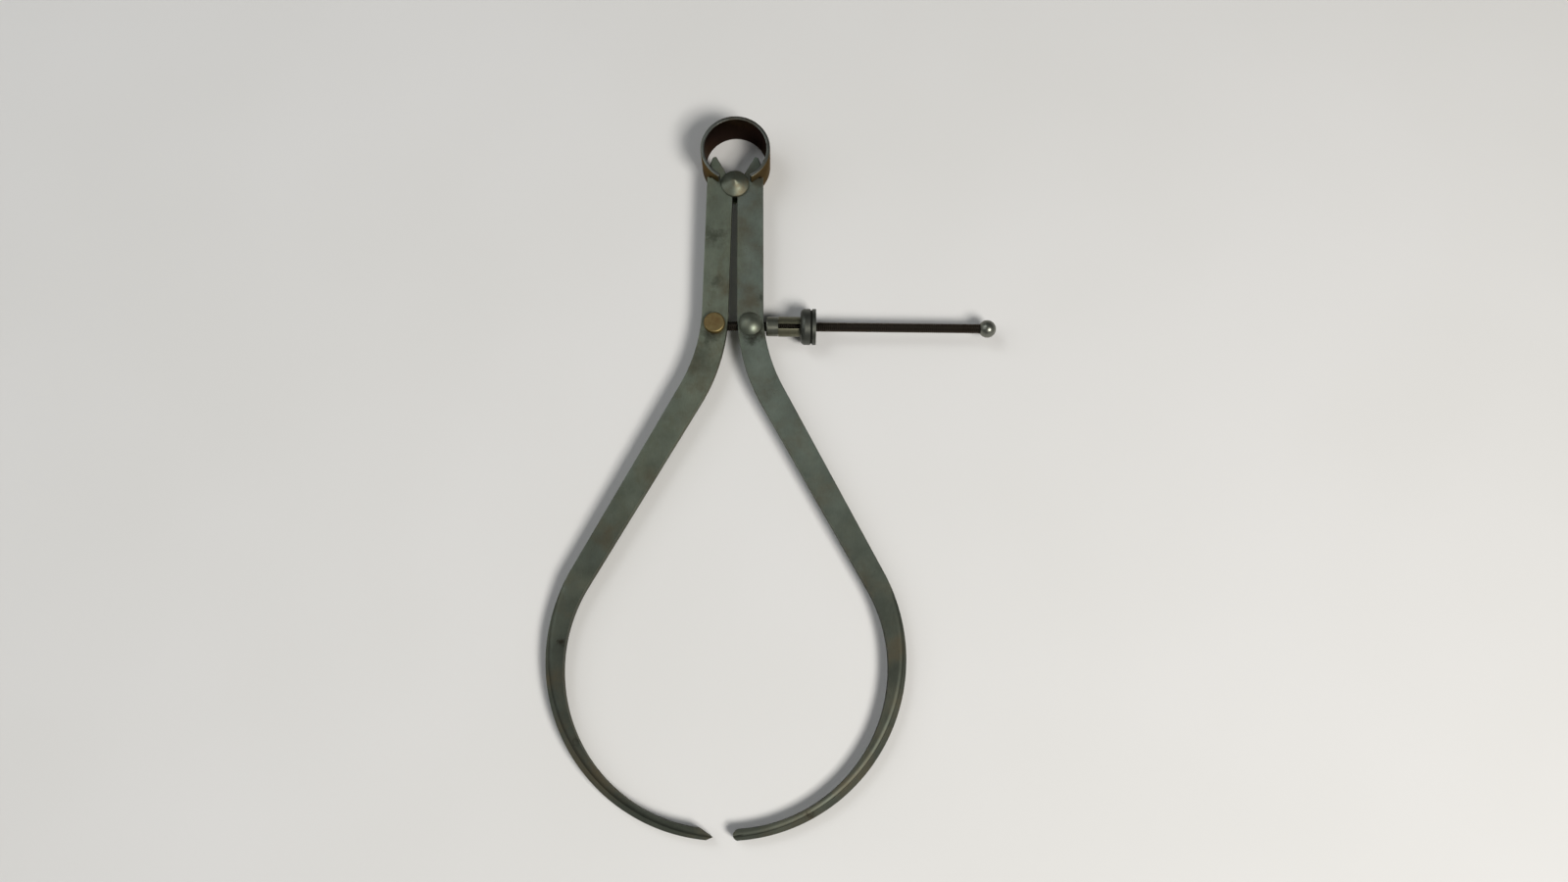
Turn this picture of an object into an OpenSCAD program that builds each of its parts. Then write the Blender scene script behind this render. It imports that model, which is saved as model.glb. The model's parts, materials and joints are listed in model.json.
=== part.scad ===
// Outside spring caliper with flat bowed legs, a C-shaped strip spring, a fulcrum spool
// and an adjusting screw with a quick-acting split nut.
// The origin is the middle of the spring's ring. The legs lie in XY and reach towards -Y,
// +X is the side the screw stands out on, and +Z is the front face.

/* [Legs] */
// Nominal size: from the fulcrum axis to the tips
reach = 203.2; // [185:0.1:230]
// Opening that is set between the tips
tip_gap = 6; // [2:0.1:12]
// Thickness of the flat legs
leg_t = 4.8; // [4.6:0.1:6]
// Width of a leg's straight upper bar
leg_w = 8.3; // [7.4:0.1:9]
// Gap between the two bars when the tips are closed
bar_gap = 1.6; // [1:0.1:2.2]
// Distance below the fulcrum where the bars start to bend outwards
bend_drop = 43; // [41:0.5:55]
// Radius of that bend on its outer edge
bend_r = 54; // [40:1:62]
// Radius of the bow's outer edge
bow_r_out = 53.3; // [48:0.1:58]
// Radius of the bow's inner edge
bow_r_in = 47.3; // [44:0.1:50]
// How far the outer bow's centre lies past the middle line, with the tips closed
bow_shift = 1.5; // [0:0.1:4]
// Width of a leg at its widest reach
bow_w = 5.4; // [4.8:0.1:7]
// Width of a leg at its tip
tip_w = 3.2; // [2.4:0.1:4]
// Length of the slanting face worn on the left tip
tip_bevel = 4; // [2:0.1:6]
// How far the worn left tip's point lies above the outer edge
tip_lift = 0.9; // [0.5:0.1:1.2]
// Width of the rounding along a bow's outer edges, where it is greatest
crown_w = 1.5; // [0.6:0.1:2]
// Depth of that rounding on the leg's side
crown_h = 0.7; // [0.3:0.1:1.2]

/* [Ears above the fulcrum] */
// Slope of an ear's inner edge, which leaves the legs room to open
ear_relief = 30.5; // [30:0.5:33]
// Height of the ear tips above the fulcrum axis
ear_rise = 9.6; // [8.6:0.1:10.4]
// Width of an ear's blunt tip
ear_tip_w = 1.1; // [0.5:0.1:1.4]
// Height of the shoulder on an ear's outer side
ear_shoulder = 6; // [5.2:0.1:6.6]
// How far the shoulder steps in from the bar's outer edge
ear_step = 0.4; // [0.2:0.1:1]

/* [Fulcrum spool] */
// Diameter of the spool's waist, which the legs turn on
waist_d = 5; // [4:0.1:6]
// Diameter of its conical heads
fulcrum_head_d = 8.9; // [8:0.1:9.2]
// Height of a head's straight rim
fulcrum_rim_h = 0.7; // [0.4:0.1:1.2]
// Height of a head's cone
fulcrum_cone_h = 2.9; // [1.5:0.1:3.2]

/* [Strip spring] */
// Outer diameter of the ring
spring_d = 22.5; // [22:0.1:24]
// Thickness of the strip
spring_t = 1.25; // [0.8:0.05:1.5]
// Width of the strip
spring_w = 14.5; // [12.8:0.1:18]
// Height of the ring's centre above the fulcrum axis
spring_rise = 10.4; // [9.4:0.1:10.8]
// Half angle of the ring's mouth, to the ends of the strip
mouth_angle = 28; // [26:0.5:32]
// Half angle to the closed ends of the slots that straddle the legs
slot_angle = 45; // [41:0.5:48]

/* [Adjusting screw] */
// Distance of the screw posts below the fulcrum axis
post_drop = 47.5; // [45:0.5:60]
// Diameter of the screw
screw_d = 3.15; // [2.6:0.05:3.2]
// Distance from the middle line to the centre of the stop ball
ball_reach = 81; // [70:0.5:95]
// Diameter of the stop ball
ball_d = 5.6; // [4.6:0.1:7]
// Depth of the screw's seat in the ball
ball_seat = 2.4; // [1.5:0.1:2.6]

/* [Swivel posts] */
// Diameter of a post where it turns in its leg
post_d = 5; // [4.8:0.1:5.6]
// Diameter of the left post's flat head
flat_head_d = 6.7; // [6.2:0.1:7.4]
// Height of that flat head
flat_head_h = 1.7; // [1:0.1:3]
// Diameter of the right post's domed head
dome_head_d = 7.4; // [6.4:0.1:7.8]
// Height of that domed head
dome_head_h = 2.2; // [1.8:0.1:3.2]
// Diameter of the riveted tails on the back
tail_d = 6.2; // [5.8:0.1:7]
// Height of the riveted tails
tail_h = 1.5; // [0.8:0.1:2.4]

/* [Quick nut] */
// Outer diameter of the nut's washer
washer_d = 6.2; // [5.8:0.1:7]
// Length of the washer
washer_l = 3.8; // [3.6:0.1:6]
// Depth of the conical seat in the washer
seat_depth = 2.6; // [1.6:0.1:3]
// Diameter of the seat's mouth
seat_d = 5.2; // [4.8:0.1:5.4]
// Slope of the seat, from the screw's axis
seat_angle = 16; // [8:1:20]
// Diameter of the split sleeve
sleeve_d = 6.4; // [6:0.1:7]
// Length of the split sleeve outside the washer
sleeve_l = 7; // [5:0.1:10]
// Width of the slit that parts the sleeve
slit_w = 1.5; // [0.5:0.1:1.8]
// Turn of the slit, with its front end towards the tips
slit_turn = 14; // [0:1:90]
// Diameter of the grip flange
flange_d = 11.5; // [10:0.1:12.4]
// Width of the rounded part of the flange
flange_l = 3.1; // [2.4:0.1:5]
// Radius of its rounded edge
flange_round = 1.5; // [0.8:0.1:2]
// Depth of the groove round the flange
groove_depth = 0.6; // [0.3:0.1:0.9]
// Width of the groove at its mouth
groove_w = 0.7; // [0.5:0.1:1.2]
// Width of the thin rim past the groove
rim_l = 1.1; // [0.8:0.1:2.5]

/* [Fits] */
// Radial clearance of pins that turn
run_fit = 0.05; // [0.02:0.01:0.1]
// Clearance between faces that slide past each other
side_fit = 0.1; // [0.05:0.01:0.2]
// Clearance of the spring's strip in the legs' notches
notch_fit = 0.25; // [0.2:0.05:0.4]
// Clearance round the screw where it passes through the legs and the right post
screw_room = 0.18; // [0.12:0.02:0.24]
// Clearance between the right leg and the washer
washer_room = 0.3; // [0.2:0.05:0.5]
// Clearance between the split sleeve's nose and the washer's seat
seat_room = 0.1; // [0.05:0.05:0.3]

/* [Hidden] */
$fn = 72;
arc_step = 2;
past = 1;
full_opening = 29.9;
notch_flare = 20;
edge_break = 0.5;
apex_r = 0.8;
ear_tip_slope = 14;
ear_corner = 1.5;
nose_over = 10;
dome_rim_h = 0.5;
crown_mid = -45;
crown_span = 62;
crown_over = 2;
crown_steps = 4;
steel = [0.36, 0.37, 0.33];
bright_steel = [0.52, 0.53, 0.5];
dark_steel = [0.2, 0.18, 0.15];
brown_steel = [0.4, 0.34, 0.27];

set_angle = asin(tip_gap / 2 / reach);
bar_in = bar_gap / 2;
bar_out = bar_in + leg_w;
half_t = leg_t / 2;
bend_c = [bar_out + bend_r, -bend_drop];
bow_c_out = [-bow_shift, bow_r_out - reach - tip_w / 2];
bow_c_in = [bow_r_out - bow_shift - bow_w - bow_r_in, bow_r_in - reach + tip_w / 2];
flank_out = tangent_dir(bend_c, bend_r, bow_c_out, bow_r_out);
flank_in = tangent_dir(bend_c, bend_r + leg_w, bow_c_in, bow_r_in);
post_local = [bar_in + leg_w / 2, -post_drop];
post_at = spun(post_local, set_angle) - [0, spring_rise];
screw_r = screw_d / 2;
passage_r = screw_r + screw_room;
spring_r = (spring_d - spring_t) / 2;
bend_bulge = bend_r - sqrt(pow(bend_r, 2) - pow(max(0, post_drop + washer_d / 2 - bend_drop), 2));
washer_x = post_at.x + leg_w / 2 + bend_bulge + washer_room;
nut_x = washer_x + washer_l;
thread_fit_r = screw_r + run_fit;

// A point turned about the origin
function spun(p, a) = [p.x * cos(a) - p.y * sin(a), p.x * sin(a) + p.y * cos(a)];

// A point on a circle
function on_circle(c, r, a) = c + r * [cos(a), sin(a)];

// Points along an arc, from one angle to another
function arc(c, r, from, to) =
    let (n = max(1, ceil(abs(to - from) / arc_step)))
    [for (i = [0:n]) on_circle(c, r, from + (to - from) * i / n)];

// Direction from the first circle's centre to the point where the line that
// crosses between two circles touches it
function tangent_dir(c1, r1, c2, r2) =
    let (d = c2 - c1)
    atan2(d.y, d.x) - acos((r1 + r2) / norm(d)) + 360;

// The angle at which a bow circle reaches a distance x from the middle line
function bow_angle(c, r, x) = -acos((x - c.x) / r);

// Outline of the ear that rises inside the spring
function ear_points() =
    let (inner = [bar_in + ear_rise * tan(ear_relief), ear_rise])
    [
        [bar_in, 0],
        inner,
        inner + ear_tip_w * [cos(ear_tip_slope), -sin(ear_tip_slope)],
        [bar_out - ear_step, ear_shoulder],
        [bar_out, ear_shoulder - ear_corner]
    ];

// End of a leg: a round nose, or the slanting face of the worn left tip
function tip_points(worn) = worn
    ? [[0, -reach - tip_w / 2 + tip_lift]]
    : arc([tip_w / 2, -reach], tip_w / 2, -90 - nose_over, nose_over - 270);

// Outline of the right leg with its tip on the middle line, round the fulcrum
function leg_points(worn) = concat(
    ear_points(),
    arc(bend_c, bend_r, 180, flank_out),
    arc(bow_c_out, bow_r_out, flank_out - 180,
        bow_angle(bow_c_out, bow_r_out, worn ? 2 * tip_lift : tip_w / 2)),
    tip_points(worn),
    arc(bow_c_in, bow_r_in, bow_angle(bow_c_in, bow_r_in, worn ? tip_bevel : tip_w / 2),
        flank_in - 180),
    arc(bend_c, bend_r + leg_w, flank_in, 180)
);

// Notch that hooks the closed end of the spring's slot, opening along the strip
module spring_notch() {
    wall = spring_t / 2 + notch_fit;
    run = leg_w / 2;
    mouth = wall + run * tan(notch_flare);
    translate([0, spring_rise])
        rotate(slot_angle - 90)
        translate([spring_r, 0])
        polygon([[-wall, -notch_fit], [wall, -notch_fit], [mouth, run], [-mouth, run]]);
}

// Fan-shaped passage for the screw, from a post's axis to one edge of the leg
module screw_passage() {
    run = leg_w / 2 + past;
    drop = run * tan(full_opening) + passage_r / cos(full_opening);
    linear_extrude(2 * passage_r, center = true)
        polygon([[0, passage_r], [run, passage_r], [run, -drop], [0, -passage_r / cos(full_opening)]]);
}

// One leg as it stands on the right, with its tip on the middle line
module leg(worn, screw_goes_through) {
    difference() {
        linear_extrude(leg_t, center = true)
            difference() {
                polygon(leg_points(worn));
                spring_notch();
                circle(waist_d / 2 + run_fit);
                translate(post_local) circle(post_d / 2 + run_fit);
            }
        crown_cut();
        translate(post_local) rotate(180) screw_passage();
        if (screw_goes_through) translate(post_local) screw_passage();
    }
}

// What the rounding takes off a bow's outer edges: a ring whose centre is shifted, so that
// the rounding grows from nothing at the flank and fades again towards the tip
module crown_cut() {
    shift = crown_w / (1 - cos(crown_span));
    r = bow_r_out + shift * cos(crown_span);
    centre = bow_c_out - shift * [cos(crown_mid), sin(crown_mid)];
    round_off = [
        for (i = [0:crown_steps])
            let (a = 90 * i / crown_steps)
            [r - crown_w * (1 - sin(a)), half_t - crown_h * (1 - cos(a))]
    ];
    for (face = [0, 1])
        mirror([0, 0, face])
            translate(centre)
            rotate(crown_mid - crown_span - crown_over)
            rotate_extrude(angle = 2 * (crown_span + crown_over))
            polygon(concat(round_off, [
                [r + leg_w, half_t - crown_h], [r + leg_w, half_t + past], [r - crown_w, half_t + past]
            ]));
}

// Puts a leg on the fulcrum at the set opening
module set_leg() {
    translate([0, -spring_rise]) rotate(set_angle) children();
}

module right_leg() {
    color(steel) set_leg() leg(worn = false, screw_goes_through = true);
}

module left_leg() {
    color(steel) mirror([1, 0]) set_leg() leg(worn = true, screw_goes_through = false);
}

// The ring is a strip bent to a C, and each end is slotted to straddle a leg
module bow_spring() {
    slot_h = leg_t + 2 * side_fit + 2 * notch_fit;
    side = spring_d * [sin(slot_angle), -cos(slot_angle)];
    color(bright_steel)
        difference() {
            rotate(mouth_angle - 90)
                rotate_extrude(angle = 360 - 2 * mouth_angle)
                translate([spring_d / 2 - spring_t, -spring_w / 2])
                square([spring_t, spring_w]);
            linear_extrude(slot_h, center = true)
                polygon([[0, 0], side, [-side.x, side.y]]);
        }
}

// Half outline of a turned head: a straight rim, then a cone with a rounded apex
function cone_head(r, z, rim, h) =
    let (
        slope = atan2(h, r),
        centre = [0, z + rim + h - apex_r / cos(slope)]
    )
    concat([[r, z], [r, z + rim]], arc(centre, apex_r, 90 - slope, 90));

// The fulcrum is one turned spool with a conical head on each face
module fulcrum_stud() {
    top = cone_head(fulcrum_head_d / 2, half_t + side_fit, fulcrum_rim_h, fulcrum_cone_h);
    profile = concat([[0, 0], [waist_d / 2, 0], [waist_d / 2, half_t + side_fit]], top);
    color(brown_steel)
        translate([0, -spring_rise])
        for (face = [0, 1])
            mirror([0, 0, face]) rotate_extrude() polygon(profile);
}

// Half outline of a low head with a rounded edge
function round_head(r, z, h, edge) =
    concat([[r, z]], arc([r - edge, z + h - edge], edge, 0, 90), [[0, z + h]]);

// Half outline of a domed head: a straight rim under a shallow dome
function dome_head(r, z, rim, h) =
    let (
        rise = h - rim,
        dome_r = (r * r + rise * rise) / (2 * rise),
        half_angle = asin(r / dome_r)
    )
    concat([[r, z]], arc([0, z + h - dome_r], dome_r, 90 - half_angle, 90));

// A post turns in its leg: its front head and the riveted tail keep it there
module post(head, bore_r) {
    tail_z = half_t + side_fit;
    tail = round_head(tail_d / 2, tail_z, tail_h, tail_h - edge_break);
    shank = [[0, 0], [post_d / 2, 0], [post_d / 2, tail_z]];
    difference() {
        union() {
            rotate_extrude() polygon(concat(shank, head));
            mirror([0, 0, 1]) rotate_extrude() polygon(concat(shank, tail));
        }
        rotate([0, 90, 0]) cylinder(h = post_d + past, r = bore_r, center = true);
    }
}

module screw_post() {
    head = round_head(flat_head_d / 2, half_t + side_fit, flat_head_h, edge_break);
    color(brown_steel)
        translate([-post_at.x, post_at.y])
        post(head, thread_fit_r);
}

module nut_post() {
    head = dome_head(dome_head_d / 2, half_t + side_fit, dome_rim_h, dome_head_h);
    color(steel)
        translate(post_at)
        post(head, passage_r);
}

// Places what is turned about the screw, with its profile running along +X
module along_screw(x) {
    translate([x, post_at.y, 0]) rotate([0, 90, 0]) children();
}

module adjusting_screw() {
    start = -post_at.x - post_d / 2 + edge_break;
    end = ball_reach - ball_d / 2 + ball_seat;
    color(dark_steel)
        along_screw(start)
        rotate_extrude()
        polygon([
            [0, 0], [screw_r - edge_break, 0], [screw_r, edge_break],
            [screw_r, end - start - edge_break], [screw_r - edge_break, end - start],
            [0, end - start]
        ]);
}

module stop_ball() {
    color(bright_steel)
        along_screw(ball_reach)
        difference() {
            sphere(d = ball_d);
            translate([0, 0, -ball_d / 2 - past])
                cylinder(h = past + ball_seat + side_fit, r = thread_fit_r);
        }
}

// The washer's conical seat closes the nut's split sleeve on the screw
module nut_washer() {
    bore_r = screw_r + side_fit;
    outer = washer_d / 2;
    mouth = seat_d / 2;
    floor_r = mouth - seat_depth * tan(seat_angle);
    color(steel)
        along_screw(washer_x)
        rotate_extrude()
        polygon(concat(
            [[bore_r, 0]],
            arc([outer - edge_break, edge_break], edge_break, -90, 0),
            [
                [outer, washer_l], [mouth, washer_l],
                [floor_r, washer_l - seat_depth], [bore_r, washer_l - seat_depth]
            ]
        ));
}

// Outline of the nut: tapered nose, sleeve, rounded flange, groove and thin rim
function nut_points() =
    let (
        r = flange_d / 2,
        sleeve_r = sleeve_d / 2,
        nose_l = seat_depth - seat_room,
        nose_r = seat_d / 2 - seat_room,
        front = sleeve_l + seat_room,
        groove_z = front + flange_l,
        rim_z = groove_z + groove_w
    )
    concat(
        [
            [thread_fit_r, -nose_l + seat_room], [nose_r - nose_l * tan(seat_angle), -nose_l + seat_room],
            [nose_r, seat_room], [sleeve_r, seat_room], [sleeve_r, front]
        ],
        arc([r - flange_round, front + flange_round], flange_round, -90, 0),
        [
            [r, groove_z], [r - groove_depth, groove_z + groove_w / 2], [r, rim_z],
            [r, rim_z + rim_l], [thread_fit_r, rim_z + rim_l]
        ]
    );

module quick_nut() {
    color(steel)
        along_screw(nut_x)
        difference() {
            rotate_extrude() polygon(nut_points());
            rotate(slit_turn)
                translate([-flange_d / 2, -slit_w / 2, -seat_depth])
                cube([flange_d, slit_w, seat_depth + sleeve_l]);
        }
}

left_leg();
right_leg();
bow_spring();
fulcrum_stud();
screw_post();
nut_post();
adjusting_screw();
stop_ball();
nut_washer();
quick_nut();
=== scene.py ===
"""Outside spring caliper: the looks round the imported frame. Lengths are in metres."""

import json
import math

import bmesh
import bpy
from mathutils import Matrix, Vector


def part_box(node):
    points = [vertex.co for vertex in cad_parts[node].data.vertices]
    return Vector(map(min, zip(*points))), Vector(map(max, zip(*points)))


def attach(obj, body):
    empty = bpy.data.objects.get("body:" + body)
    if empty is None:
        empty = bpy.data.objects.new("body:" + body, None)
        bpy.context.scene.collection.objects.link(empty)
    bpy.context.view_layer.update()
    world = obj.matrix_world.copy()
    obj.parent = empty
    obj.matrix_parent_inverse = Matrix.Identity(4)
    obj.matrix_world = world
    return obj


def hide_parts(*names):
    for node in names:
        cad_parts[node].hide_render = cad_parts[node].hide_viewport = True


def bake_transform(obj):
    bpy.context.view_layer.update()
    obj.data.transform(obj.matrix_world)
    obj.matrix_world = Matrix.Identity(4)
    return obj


MM = 0.001

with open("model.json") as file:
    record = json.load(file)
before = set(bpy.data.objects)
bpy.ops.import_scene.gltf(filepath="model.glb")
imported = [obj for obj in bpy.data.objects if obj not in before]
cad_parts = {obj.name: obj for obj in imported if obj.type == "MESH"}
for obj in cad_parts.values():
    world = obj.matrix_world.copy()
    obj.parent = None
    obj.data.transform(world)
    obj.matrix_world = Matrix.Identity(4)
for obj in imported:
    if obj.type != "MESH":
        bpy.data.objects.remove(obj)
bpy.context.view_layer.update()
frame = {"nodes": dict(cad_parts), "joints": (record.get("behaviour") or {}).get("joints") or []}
scene = bpy.context.scene
nodes = frame["nodes"]

# Places taken from the frame
JOINTS = {joint["name"]: joint for joint in frame["joints"]}
FULCRUM = Vector(JOINTS["left_leg_open"]["pos_m"])
LEFT_POST = Vector(JOINTS["screw_swivel"]["pos_m"])
RIGHT_POST = Vector(JOINTS["post_swivel"]["pos_m"])
SCREW_Y = LEFT_POST.y
SPRING_LOW, SPRING_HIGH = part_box("bow_spring")
SCREW_LOW, SCREW_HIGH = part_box("adjusting_screw")
LEG_LOW, LEG_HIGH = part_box("left_leg")
NUT_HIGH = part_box("quick_nut")[1]

# Broken edges: widths, and what tells edges and faces apart
LEG_EDGE = 0.25 * MM
SPRING_EDGE = 0.22 * MM
STUD_EDGE = 0.15 * MM
EDGE_STEPS = 3
BEVEL_ANGLE = math.radians(34)
SHARP_ANGLE = math.radians(38)
STRAIGHT_ON = math.radians(150)
FLAT_ANGLE = math.radians(0.05)
WELD_GAP = 0.01 * MM
BROAD_FACE_GAP = 0.1 * MM
UPRIGHT = 0.05
LEVEL = 0.998

# The strip spring: its cut at the crown, and the marks on its faces
CUT_FACING = 0.9
CUT_GAP = 1e-6
WALL_FACING = 0.6
EDGE_WALL, OUTER_WALL, INNER_WALL = 0.0, 0.5, 1.0

# The screw's thread
THREAD_PITCH = 0.635 * MM
THREAD_DEPTH = 0.3 * MM
THREAD_LEAD = 0.6 * MM
LEAD_SLOPE = 0.6
THREAD_STEPS = 6
ROUND_STEPS = 24

# Colours of the legs, the spring and the nut
# The legs' bow and bar tones are partly painted shade and painted sheen besides their own colour
LEG_BOW_TONE_AND_SHADE = (0.058, 0.064, 0.05)
LEG_BAR_TONE_AND_SHEEN = (0.172, 0.195, 0.146)
LEG_OLIVE_TONE = (0.115, 0.117, 0.077)
LEG_BLUE_TONE = (0.155, 0.19, 0.172)
SPRING_EDGE_TONE = (0.13, 0.138, 0.122)
SPRING_OUT_TONE = (0.12, 0.094, 0.047)
# The spring's nearly black inside is painted shade
SPRING_IN_SHADE_TONE = (0.022, 0.016, 0.01)
NUT_SLEEVE_TONE = (0.155, 0.15, 0.1)
NUT_FLANGE_TONE = (0.09, 0.094, 0.08)

# Where the legs turn from the dull, dark bows to the light bars (partly painted shade and painted
# sheen), and the nut from sleeve to flange
BOW_Y, BAR_Y = -145 * MM, -15 * MM
LEVEL_WANDER = 60 * MM
BLUE_FROM_X, BLUE_TO_X = -2 * MM, 6 * MM
SLEEVE_END, FLANGE_START = 5.3 * MM, 4.7 * MM

# Old steel: scales of its grain, and how strongly each layer shows
PIT_SCALE = 420
FINE_SCALE = 2600
BRUSH_SCALE, BRUSH_STRETCH = 1400, (3, 0.5, 1)
LINE_SCALE, LINE_STRETCH = 5200, (1, 0.02, 0.02)
FILM_COVER = 0.7
PIT_TONE = 0.35
MARK_AND_SHADE_TONE = 0.2
LINE_BASE, LINE_SHADE = 0.86, 0.28
FILM_ROUGH, PIT_ROUGH, LINE_ROUGH = 0.14, 0.18, 0.08
METALLIC = 0.9
FINE_HEIGHT, LINE_HEIGHT = 0.5, 0.5
BUMP_STRENGTH = 0.3
BUMP_DEPTH = 0.03 * MM

# Dark marks and painted shade on the legs, in mm: place, radius and strength
LEG_MARKS_AND_SHADE = (
    # Pits on the bows
    ((-49.4, -158.3, 2.4), 1.6, 0.9),
    ((-43.5, -187.4, 2), 1.6, 0.9),
    ((25.3, -207.8, 2), 1.4, 0.9),
    # Stains on the bars and the left bend
    ((-8.4, -27.5, 2.4), 3.2, 0.42),
    ((-6.3, -28.5, 2.4), 3.0, 0.3),
    ((-4.2, -27.9, 2.4), 3.0, 0.4),
    ((-8.5, -31.2, 2.4), 3.0, 0.25),
    ((-4.4, -31.9, 2.4), 2.8, 0.22),
    ((-5.2, -43.7, 2.4), 2.8, 0.4),
    ((9.0, -49.1, 2.4), 1.8, 0.5),
    ((-11.0, -69.0, 2.4), 6, 0.35),
    # Painted shade below the post heads, where their dark reflection falls on the leg
    ((6.4, -60.6, 2.4), 4.6, 0.9),
    ((-6.3, -60.8, 2.4), 4.2, 0.75),
)
# A mark's ragged rim, in shares of its radius
RAGGED_SCALE = 1.3
RAGGED_REACH = 3
MARK_CORE, MARK_RIM = 1.4, 2.6

# The camera, worked out from the photograph's 1600 by 900 frame
PHOTO_WIDTH = 1600
FOCAL_PIXELS = 1400
SENSOR = 36.0
CAMERA_NEAR = 10 * MM
CAMERA_FROM_FULCRUM = Vector((15.6 * MM, -182.5 * MM, 416.7 * MM))
CAMERA_TILT = math.radians(13.2)
CAMERA_ROLL = math.radians(1.25)
CAMERA_TURN = math.radians(-0.65)

# Floor and light; a lamp is its name, place, size, power and colour
FLOOR_HALF = 1.2
FLOOR_TONES = (0.7, 0.69, 0.665), (0.72, 0.71, 0.69)
FLOOR_ROUGH = 0.75
LAMP_AIM = Vector((0, -0.1, 0))
LAMPS = (
    ("key", (0.57, -0.64, 1.01), 0.4, 15.2, (1, 0.98, 0.95)),
    ("sky", (-0.5, 0.36, 1.05), 0.4, 1.3, (0.93, 0.98, 1)),
    ("fill", (-0.7, 0.1, 0.8), 1.0, 3.2, (0.95, 0.97, 1)),
)
HORIZON_TONE = (0.6, 0.6, 0.6)
OVERHEAD_TONE = (0.055, 0.058, 0.062)
HORIZON_RISE = 0.3

# The colour sockets of a mix
MIX_A, MIX_B, MIX_RESULT = 6, 7, 2


def add_object(name, data):
    piece = bpy.data.objects.new(name, data)
    scene.collection.objects.link(piece)
    return piece


def smooth(mesh):
    """Smooth shading that keeps the true edges sharp."""
    mesh.shade_smooth()
    mesh.set_sharp_from_angle(angle=SHARP_ANGLE)


def clean_bmesh(node):
    """A CAD node's mesh with its flat faces whole again."""
    bm = bmesh.new()
    bm.from_mesh(nodes[node].data)
    bmesh.ops.remove_doubles(bm, verts=bm.verts, dist=WELD_GAP)
    bmesh.ops.dissolve_limit(bm, angle_limit=FLAT_ANGLE, verts=bm.verts, edges=bm.edges)
    return bm


def sloping(face):
    return UPRIGHT < abs(face.normal.z) < LEVEL


def follows(edge, other, corner):
    """True where one edge carries on from another with hardly a bend."""
    a, b = (e.other_vert(corner).co - corner.co for e in (edge, other))
    return a.angle(b) > STRAIGHT_ON


def gentle_runs(edges):
    """Edges grouped into runs that bend gently."""
    left = dict.fromkeys(edges)
    runs = []
    while left:
        run = [next(iter(left))]
        del left[run[0]]
        for edge in run:
            for corner in edge.verts:
                for other in corner.link_edges:
                    if other in left and follows(edge, other, corner):
                        del left[other]
                        run.append(other)
        runs.append(run)
    return runs


def clear_of_slopes(run):
    corners = [corner for edge in run for corner in edge.verts]
    return not any(sloping(face) for corner in corners for face in corner.link_faces)


def on_broad_face(edge):
    return all(abs(corner.co.z) > LEG_HIGH.z - BROAD_FACE_GAP for corner in edge.verts)


def is_sharp(edge):
    return len(edge.link_faces) == 2 and edge.calc_face_angle() > BEVEL_ANGLE


def round_edges(bm, width, keep_slopes=False):
    """Bevels the sharp edges, or only those of a leg's broad faces, in runs that
    don't meet a sloping face."""
    bm.normal_update()
    edges = [edge for edge in bm.edges if is_sharp(edge)]
    if keep_slopes:
        edges = [edge for edge in edges if on_broad_face(edge)]
        edges = [edge for run in gentle_runs(edges) if clear_of_slopes(run) for edge in run]
    bmesh.ops.bevel(
        bm,
        geom=edges,
        offset=width,
        offset_type="OFFSET",
        segments=EDGE_STEPS,
        profile=0.5,
        affect="EDGES",
        clamp_overlap=False,
    )


def finish_mesh(bm, name):
    bmesh.ops.recalc_face_normals(bm, faces=bm.faces)
    mesh = bpy.data.meshes.new(name)
    bm.to_mesh(mesh)
    bm.free()
    smooth(mesh)
    return mesh


def rounded_copy(node, name, width, keep_slopes=False):
    """A piece of the node's own form, with its edges broken as on the real one."""
    bm = clean_bmesh(node)
    round_edges(bm, width, keep_slopes)
    piece = add_object(name, finish_mesh(bm, name))
    normals = piece.modifiers.new("normals", "WEIGHTED_NORMAL")
    normals.keep_sharp = True
    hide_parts(node)
    return piece


def join_shading(mesh):
    """Lets the two halves of the spring shade as one strip at the crown."""
    normals = [Vector(corner.vector) for corner in mesh.corner_normals]
    for face in mesh.polygons:
        if abs(face.normal.x) > CUT_FACING:
            continue
        for i in face.loop_indices:
            if abs(mesh.vertices[mesh.loops[i].vertex_index].co.x) < CUT_GAP:
                normals[i] = Vector((0, normals[i].y, normals[i].z)).normalized()
    mesh.normals_split_custom_set(normals)


def mark_walls(mesh):
    """Marks each face of the strip as one of its edges, its outside or its inside."""
    walls = mesh.attributes.new("wall", "FLOAT", "FACE")
    for face in mesh.polygons:
        spoke = Vector((face.center.x, face.center.y, 0)).normalized()
        facing = face.normal.dot(spoke)
        wall = EDGE_WALL
        if facing < -WALL_FACING:
            wall = INNER_WALL
        elif facing > WALL_FACING:
            wall = OUTER_WALL
        walls.data[face.index].value = wall


def spring_half(name, side):
    """Half of the strip spring, cut at the crown, that runs from the fulcrum to one leg."""
    bm = clean_bmesh("bow_spring")
    round_edges(bm, SPRING_EDGE)
    bmesh.ops.bisect_plane(
        bm,
        geom=bm.verts[:] + bm.edges[:] + bm.faces[:],
        plane_co=(0, 0, 0),
        plane_no=(-side, 0, 0),
        clear_outer=True,
    )
    bmesh.ops.holes_fill(bm, edges=[e for e in bm.edges if e.is_boundary], sides=0)
    mesh = finish_mesh(bm, name)
    join_shading(mesh)
    mark_walls(mesh)
    return add_object(name, mesh)


def tooth(phase):
    """A V-shaped wave from 0 at whole phases to 1 halfway between them."""
    share = phase - math.floor(phase)
    return 1 - abs(2 * share - 1)


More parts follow.
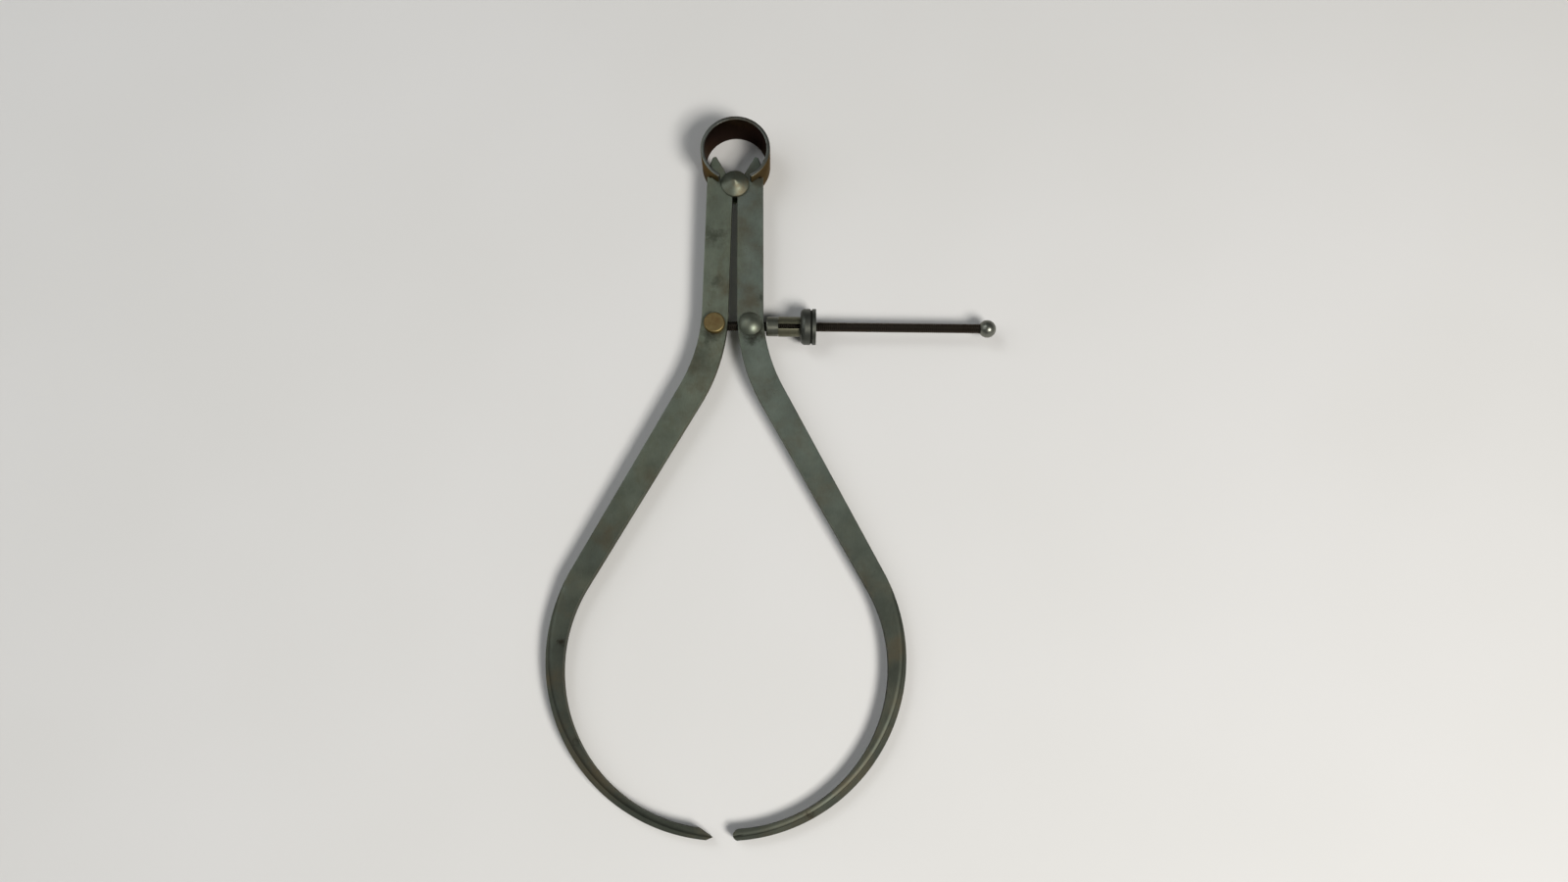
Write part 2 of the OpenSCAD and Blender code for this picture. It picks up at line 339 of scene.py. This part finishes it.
def turned_mesh(name, rings, radius_at, steps):
    """A closed body turned about the screw's axis: rings are places along X, and
    radius_at gives the radius at a place and an angle."""
    bm = bmesh.new()
    loops = []
    for x in rings:
        loop = []
        for i in range(steps):
            turn = 2 * math.pi * i / steps
            r = radius_at(x, turn)
            loop.append(bm.verts.new((x, SCREW_Y + r * math.cos(turn), r * math.sin(turn))))
        loops.append(loop)
    for near, far in zip(loops, loops[1:]):
        for i in range(steps):
            j = (i + 1) % steps
            bm.faces.new((near[i], near[j], far[j], far[i]))
    bm.faces.new(loops[0])
    bm.faces.new(list(reversed(loops[-1])))
    return finish_mesh(bm, name)


def screw_thread():
    """The adjusting screw with its helical thread, tapered at both ends."""
    outer = (SCREW_HIGH.z - SCREW_LOW.z) / 2
    step = THREAD_PITCH / THREAD_STEPS
    count = int((SCREW_HIGH.x - SCREW_LOW.x) / step)
    rings = [SCREW_LOW.x + i * step for i in range(count)] + [SCREW_HIGH.x]

    def radius_at(x, turn):
        end = min(x - SCREW_LOW.x, SCREW_HIGH.x - x)
        taper = max(0.0, THREAD_LEAD - end) * LEAD_SLOPE
        root = tooth((x - SCREW_LOW.x) / THREAD_PITCH - turn / (2 * math.pi))
        return outer - max(taper, THREAD_DEPTH * root)

    piece = add_object("screw_thread", turned_mesh("screw_thread", rings, radius_at, ROUND_STEPS))
    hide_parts("adjusting_screw")
    return piece


def node_tree(name):
    material = bpy.data.materials.new(name)
    material.use_nodes = True
    tree = material.node_tree
    return material, tree, tree.nodes["Principled BSDF"]


def object_coords(tree):
    return tree.nodes.new("ShaderNodeTexCoord").outputs["Object"]


def parts_of(tree, vector):
    """A vector's X, Y and Z."""
    split = tree.nodes.new("ShaderNodeSeparateXYZ")
    tree.links.new(vector, split.inputs["Vector"])
    return split.outputs


def noise(tree, coords, scale, detail=4, rough=0.55, stretch=None):
    """A noise whose scale is in features per metre, drawn out along an axis if asked."""
    texture = tree.nodes.new("ShaderNodeTexNoise")
    texture.inputs["Scale"].default_value = scale
    texture.inputs["Detail"].default_value = detail
    texture.inputs["Roughness"].default_value = rough
    source = coords
    if stretch:
        mapping = tree.nodes.new("ShaderNodeMapping")
        mapping.inputs["Scale"].default_value = stretch
        tree.links.new(coords, mapping.inputs["Vector"])
        source = mapping.outputs["Vector"]
    tree.links.new(source, texture.inputs["Vector"])
    return texture.outputs["Fac"]


def ramp(tree, value, low, high):
    """A value spread from 0 at low to 1 at high."""
    node = tree.nodes.new("ShaderNodeMapRange")
    node.interpolation_type = "SMOOTHSTEP"
    node.inputs["From Min"].default_value = low
    node.inputs["From Max"].default_value = high
    tree.links.new(value, node.inputs["Value"])
    return node.outputs["Result"]


def maths(tree, operation, a, b):
    node = tree.nodes.new("ShaderNodeMath")
    node.operation = operation
    for socket, value in zip(node.inputs, (a, b)):
        if isinstance(value, (int, float)):
            socket.default_value = value
        else:
            tree.links.new(value, socket)
    return node.outputs["Value"]


def times(tree, a, b):
    return maths(tree, "MULTIPLY", a, b)


def plus_share(tree, base, value, share):
    """A base with a share of a value added."""
    return maths(tree, "ADD", base, times(tree, value, share))


def mixed(tree, factor, a, b):
    """Two colours mixed: each is a colour or an output."""
    node = tree.nodes.new("ShaderNodeMix")
    node.data_type = "RGBA"
    tree.links.new(factor, node.inputs["Factor"])
    for socket, value in ((node.inputs[MIX_A], a), (node.inputs[MIX_B], b)):
        if isinstance(value, tuple):
            socket.default_value = (*value, 1)
        else:
            tree.links.new(value, socket)
    return node.outputs[MIX_RESULT]


def scaled(tree, colour, factor):
    node = tree.nodes.new("ShaderNodeVectorMath")
    node.operation = "SCALE"
    tree.links.new(colour, node.inputs[0])
    tree.links.new(factor, node.inputs["Scale"])
    return node.outputs["Vector"]


def spot(tree, coords, place, radius):
    """A ragged mark round a place: 1 in its middle and 0 outside."""
    node = tree.nodes.new("ShaderNodeVectorMath")
    node.operation = "DISTANCE"
    node.inputs[1].default_value = place
    tree.links.new(coords, node.inputs[0])
    grain = noise(tree, coords, RAGGED_SCALE / radius, detail=5, rough=0.65)
    far = plus_share(tree, node.outputs["Value"], grain, RAGGED_REACH * radius)
    outside = ramp(tree, far, MARK_CORE * radius, MARK_RIM * radius)
    return maths(tree, "SUBTRACT", 1.0, outside)


def head_lines(centre):
    """Fine tool lines round an axis that stands along Z."""

    def lines(tree, coords):
        shift = tree.nodes.new("ShaderNodeMapping")
        shift.vector_type = "POINT"
        shift.inputs["Location"].default_value = (-centre.x, -centre.y, 0)
        shift.inputs["Scale"].default_value = (1, 1, 0)
        tree.links.new(coords, shift.inputs["Vector"])
        length = tree.nodes.new("ShaderNodeVectorMath")
        length.operation = "LENGTH"
        tree.links.new(shift.outputs["Vector"], length.inputs[0])
        texture = tree.nodes.new("ShaderNodeTexNoise")
        texture.noise_dimensions = "1D"
        texture.inputs["Scale"].default_value = LINE_SCALE
        tree.links.new(length.outputs["Value"], texture.inputs["W"])
        return texture.outputs["Fac"]

    return lines


def nut_lines(tree, coords):
    """Fine tool lines round the screw's axis."""
    return noise(tree, coords, LINE_SCALE, detail=2, rough=0.5, stretch=LINE_STRETCH)


def brush_lines(tree, coords):
    """Faint lines of filing and rubbing."""
    return noise(tree, coords, BRUSH_SCALE, detail=2, rough=0.5, stretch=BRUSH_STRETCH)


def leg_metal(tree, coords):
    """Satin steel, cool and light on the bars and flanks, duller and olive on the bows; the light
    bars and dark bows are partly painted sheen and painted shade.
    """
    place = parts_of(tree, coords)
    wander = noise(tree, coords, 45, detail=3)
    bar_tone_and_sheen = ramp(tree, plus_share(tree, place["Y"], wander, LEVEL_WANDER), BOW_Y, BAR_Y)
    # Bow tone to bar tone: partly own colour, partly painted shade on the bows and painted sheen
    # on the bars
    colour = mixed(tree, bar_tone_and_sheen, LEG_BOW_TONE_AND_SHADE, LEG_BAR_TONE_AND_SHEEN)

    mottle = noise(tree, coords, 170, detail=5, rough=0.62, stretch=(1, 0.6, 1))
    olive = times(tree, ramp(tree, mottle, 0.46, 0.66), bar_tone_and_sheen)
    colour = mixed(tree, times(tree, olive, 0.6), colour, LEG_OLIVE_TONE)

    clouds = noise(tree, coords, 58, detail=3, rough=0.5, stretch=(1, 0.7, 1))
    right_leg = times(tree, ramp(tree, place["X"], BLUE_FROM_X, BLUE_TO_X), 0.7)
    blue = maths(tree, "MAXIMUM", ramp(tree, clouds, 0.5, 0.68), right_leg)
    blue = times(tree, blue, bar_tone_and_sheen)
    colour = mixed(tree, times(tree, blue, 0.7), colour, LEG_BLUE_TONE)

    worn = maths(tree, "ADD", 0.5, noise(tree, coords, 105, detail=4, rough=0.6))
    return scaled(tree, colour, worn)


def spring_metal(tree, coords):
    """Bright worn edges, a brown outside and a nearly black inside, the inside being painted
    shade.
    """
    node = tree.nodes.new("ShaderNodeAttribute")
    node.attribute_name = "wall"
    wall = node.outputs["Fac"]
    colour = mixed(tree, ramp(tree, wall, 0.1, 0.4), SPRING_EDGE_TONE, SPRING_OUT_TONE)
    # The nearly black inside is painted shade
    return mixed(tree, ramp(tree, wall, 0.6, 0.9), colour, SPRING_IN_SHADE_TONE)


def nut_metal(tree, coords):
    """A sleeve lighter and warmer than the dark flange beside it."""
    along = parts_of(tree, coords)["X"]
    flange = ramp(tree, along, NUT_HIGH.x - SLEEVE_END, NUT_HIGH.x - FLANGE_START)
    return mixed(tree, flange, NUT_SLEEVE_TONE, NUT_FLANGE_TONE)


def steel(
    name,
    metal,
    patina,
    rough,
    patina_share=0.5,
    spots=0.4,
    grain=75,
    edge=(1, 1, 1),
    lines=brush_lines,
    marks=(),
):
    """Old tool steel: brown patina in blotches, dark pits, fine lines and marks.
    The clean metal is a colour, or a function that builds one. The edge colour tints
    light at a low angle."""
    material, tree, shader = node_tree(name)
    coords = object_coords(tree)
    blotch = noise(tree, coords, grain, detail=6, rough=0.62)
    film = ramp(tree, blotch, 0.62 - 0.3 * patina_share, 0.74)
    pits = ramp(tree, noise(tree, coords, PIT_SCALE, detail=5, rough=0.7), 0.6, 0.78)
    fine = noise(tree, coords, FINE_SCALE, detail=3, rough=0.6)
    line = lines(tree, coords)

    colour = metal(tree, coords) if callable(metal) else metal
    colour = mixed(tree, times(tree, film, FILM_COVER), colour, patina)
    pit_colour = tuple(PIT_TONE * c for c in patina)
    colour = mixed(tree, times(tree, pits, spots), colour, pit_colour)
    mark_and_shade_colour = tuple(MARK_AND_SHADE_TONE * c for c in patina)
    # The listed marks hold painted shade as well as stains and pits
    for place, radius, strength in marks:
        mark = spot(tree, coords, [v * MM for v in place], radius * MM)
        colour = mixed(tree, times(tree, mark, strength), colour, mark_and_shade_colour)
    colour = scaled(tree, colour, plus_share(tree, LINE_BASE, line, LINE_SHADE))
    tree.links.new(colour, shader.inputs["Base Color"])

    gloss = rough
    for layer, share in ((film, FILM_ROUGH), (pits, PIT_ROUGH), (line, LINE_ROUGH)):
        gloss = plus_share(tree, gloss, layer, share)
    tree.links.new(gloss, shader.inputs["Roughness"])
    shader.inputs["Metallic"].default_value = METALLIC
    shader.inputs["Specular Tint"].default_value = (*edge, 1)

    height = maths(tree, "SUBTRACT", times(tree, fine, FINE_HEIGHT), pits)
    height = plus_share(tree, height, line, LINE_HEIGHT)
    bump = tree.nodes.new("ShaderNodeBump")
    bump.inputs["Strength"].default_value = BUMP_STRENGTH
    bump.inputs["Distance"].default_value = BUMP_DEPTH
    tree.links.new(height, bump.inputs["Height"])
    tree.links.new(bump.outputs["Normal"], shader.inputs["Normal"])
    return material


def dress(piece, material):
    piece.data.materials.clear()
    piece.data.materials.append(material)


def floor_material():
    material, tree, shader = node_tree("pale_floor")
    tone = ramp(tree, noise(tree, object_coords(tree), 8, detail=2), 0.3, 0.7)
    tree.links.new(mixed(tree, tone, *FLOOR_TONES), shader.inputs["Base Color"])
    shader.inputs["Roughness"].default_value = FLOOR_ROUGH
    return material


def make_floor():
    """The floor that the spring's lower edge and the tips lie on."""
    drop = LEG_LOW.z - SPRING_LOW.z
    run = SPRING_LOW.y - LEG_LOW.y
    h = FLOOR_HALF
    mesh = bpy.data.meshes.new("floor")
    mesh.from_pydata([(-h, -h, 0), (h, -h, 0), (h, h, 0), (-h, h, 0)], [], [(0, 1, 2, 3)])
    floor = add_object("floor", mesh)
    floor.location = (0, SPRING_LOW.y, SPRING_LOW.z)
    floor.rotation_euler = (-math.atan2(drop, run), 0, 0)
    mesh.materials.append(floor_material())


def make_camera():
    data = bpy.data.cameras.new("camera")
    data.sensor_width = SENSOR
    data.lens = SENSOR * FOCAL_PIXELS / PHOTO_WIDTH
    data.clip_start = CAMERA_NEAR
    camera = add_object("camera", data)
    turn = Matrix.Rotation(CAMERA_TURN, 4, "Z")
    tilt = Matrix.Rotation(CAMERA_TILT, 4, "X")
    roll = Matrix.Rotation(CAMERA_ROLL, 4, "Z")
    place = Matrix.Translation(FULCRUM + CAMERA_FROM_FULCRUM)
    camera.matrix_world = place @ turn @ tilt @ roll
    scene.camera = camera


def make_lamps():
    for name, place, size, power, colour in LAMPS:
        data = bpy.data.lights.new(name, "AREA")
        data.energy = power
        data.size = size
        data.color = colour
        lamp = add_object(name, data)
        lamp.location = place
        lamp.rotation_euler = (LAMP_AIM - Vector(place)).to_track_quat("-Z", "Y").to_euler()


def make_world():
    """Pale at the horizon and dim overhead."""
    world = bpy.data.worlds.new("studio")
    world.use_nodes = True
    tree = world.node_tree
    coords = tree.nodes.new("ShaderNodeTexCoord").outputs["Generated"]
    rise = ramp(tree, parts_of(tree, coords)["Z"], 0.0, HORIZON_RISE)
    sky = mixed(tree, rise, HORIZON_TONE, OVERHEAD_TONE)
    tree.links.new(sky, tree.nodes["Background"].inputs["Color"])
    scene.world = world


scene.view_settings.view_transform = "Standard"
make_camera()
make_lamps()
make_world()
make_floor()

leg_steel = steel(
    "leg_steel",
    leg_metal,
    patina=(0.095, 0.076, 0.046),
    rough=0.43,
    patina_share=0.66,
    spots=0.5,
    edge=(0.65, 0.65, 0.6),
    marks=LEG_MARKS_AND_SHADE,
)
spring_steel = steel(
    "spring_steel",
    spring_metal,
    patina=(0.06, 0.041, 0.023),
    rough=0.4,
    patina_share=0.4,
    spots=0.5,
    edge=(0.42, 0.32, 0.21),
)
fulcrum_steel = steel(
    "fulcrum_steel",
    (0.17, 0.19, 0.145),
    patina=(0.15, 0.108, 0.055),
    rough=0.46,
    patina_share=0.66,
    grain=200,
    lines=head_lines(FULCRUM),
)
tan_steel = steel(
    "tan_steel",
    (0.2, 0.155, 0.068),
    patina=(0.12, 0.066, 0.028),
    rough=0.42,
    patina_share=0.8,
    spots=0.7,
    grain=330,
    edge=(0.7, 0.55, 0.3),
    lines=head_lines(LEFT_POST),
)
post_steel = steel(
    "post_steel",
    (0.15, 0.168, 0.13),
    patina=(0.12, 0.095, 0.055),
    rough=0.41,
    lines=head_lines(RIGHT_POST),
)
screw_steel = steel(
    "screw_steel",
    (0.04, 0.034, 0.027),
    patina=(0.03, 0.02, 0.013),
    rough=0.42,
    edge=(0.6, 0.5, 0.4),
)
nut_steel = steel(
    "nut_steel",
    nut_metal,
    patina=(0.085, 0.07, 0.042),
    rough=0.4,
    lines=nut_lines,
)
washer_steel = steel(
    "washer_steel",
    (0.17, 0.175, 0.14),
    patina=(0.1, 0.082, 0.05),
    rough=0.3,
    lines=nut_lines,
)
ball_steel = steel(
    "ball_steel",
    (0.18, 0.185, 0.155),
    patina=(0.1, 0.085, 0.055),
    rough=0.3,
    patina_share=0.4,
)

for side, name in ((-1, "left_leg"), (1, "right_leg")):
    leg = rounded_copy(name, name + "_steel", LEG_EDGE, keep_slopes=True)
    dress(leg, leg_steel)
    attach(leg, name)
    half = spring_half("spring_" + name.split("_")[0], side)
    dress(half, spring_steel)
    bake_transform(half)
    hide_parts("bow_spring")

fulcrum = rounded_copy("fulcrum_stud", "fulcrum_spool", STUD_EDGE)
dress(fulcrum, fulcrum_steel)
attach(fulcrum, "fulcrum")

thread = screw_thread()
dress(thread, screw_steel)
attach(thread, "screw")

for name, material, slot in (
    ("screw_post", tan_steel, "stud_steel"),
    ("nut_post", post_steel, "stud_steel"),
    ("stop_ball", ball_steel, "ball_steel"),
    ("nut_washer", washer_steel, "nut_steel"),
    ("quick_nut", nut_steel, "nut_steel"),
):
    dress(nodes[name], material)
